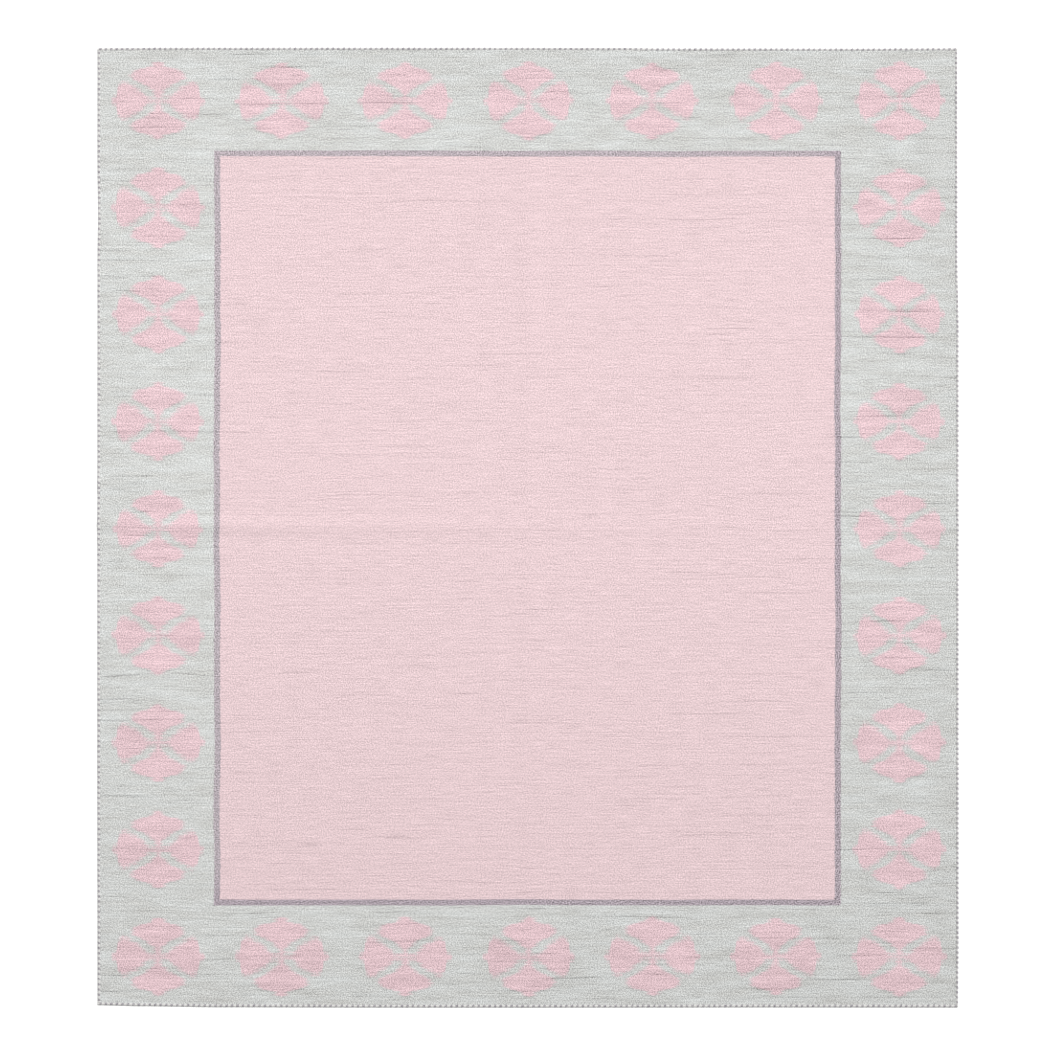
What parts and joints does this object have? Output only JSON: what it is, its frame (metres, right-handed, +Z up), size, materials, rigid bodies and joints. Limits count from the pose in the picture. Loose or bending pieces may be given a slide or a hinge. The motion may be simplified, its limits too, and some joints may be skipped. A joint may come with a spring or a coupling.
{
  "type": "flatweave rug",
  "caption": "Room-size flatweave wool rug lying flat, with a plain pink field inside a thin mauve line, a grey border of pink flowers and overcast edges.",
  "frame": {"origin": "on the floor under the middle of the rug", "axes": "+X along the weft from the left side to the right, +Y along the warp towards the top edge, +Z up"},
  "size_m": [2.743, 3.057, 0.0088],
  "materials": {
    "wool_weave": "matt weft-faced wool flatweave, pink field, mauve line, grey border with pink flowers",
    "overcast_yarn": "matt mauve-grey wool yarn wrapped over a light grey edge"
  },
  "bodies": {
    "root": {"woven_cloth": "wool_weave", "overcast_edge_top": "overcast_yarn", "overcast_edge_bottom": "overcast_yarn", "overcast_edge_left": "overcast_yarn", "overcast_edge_right": "overcast_yarn"}
  },
  "joints": []
}
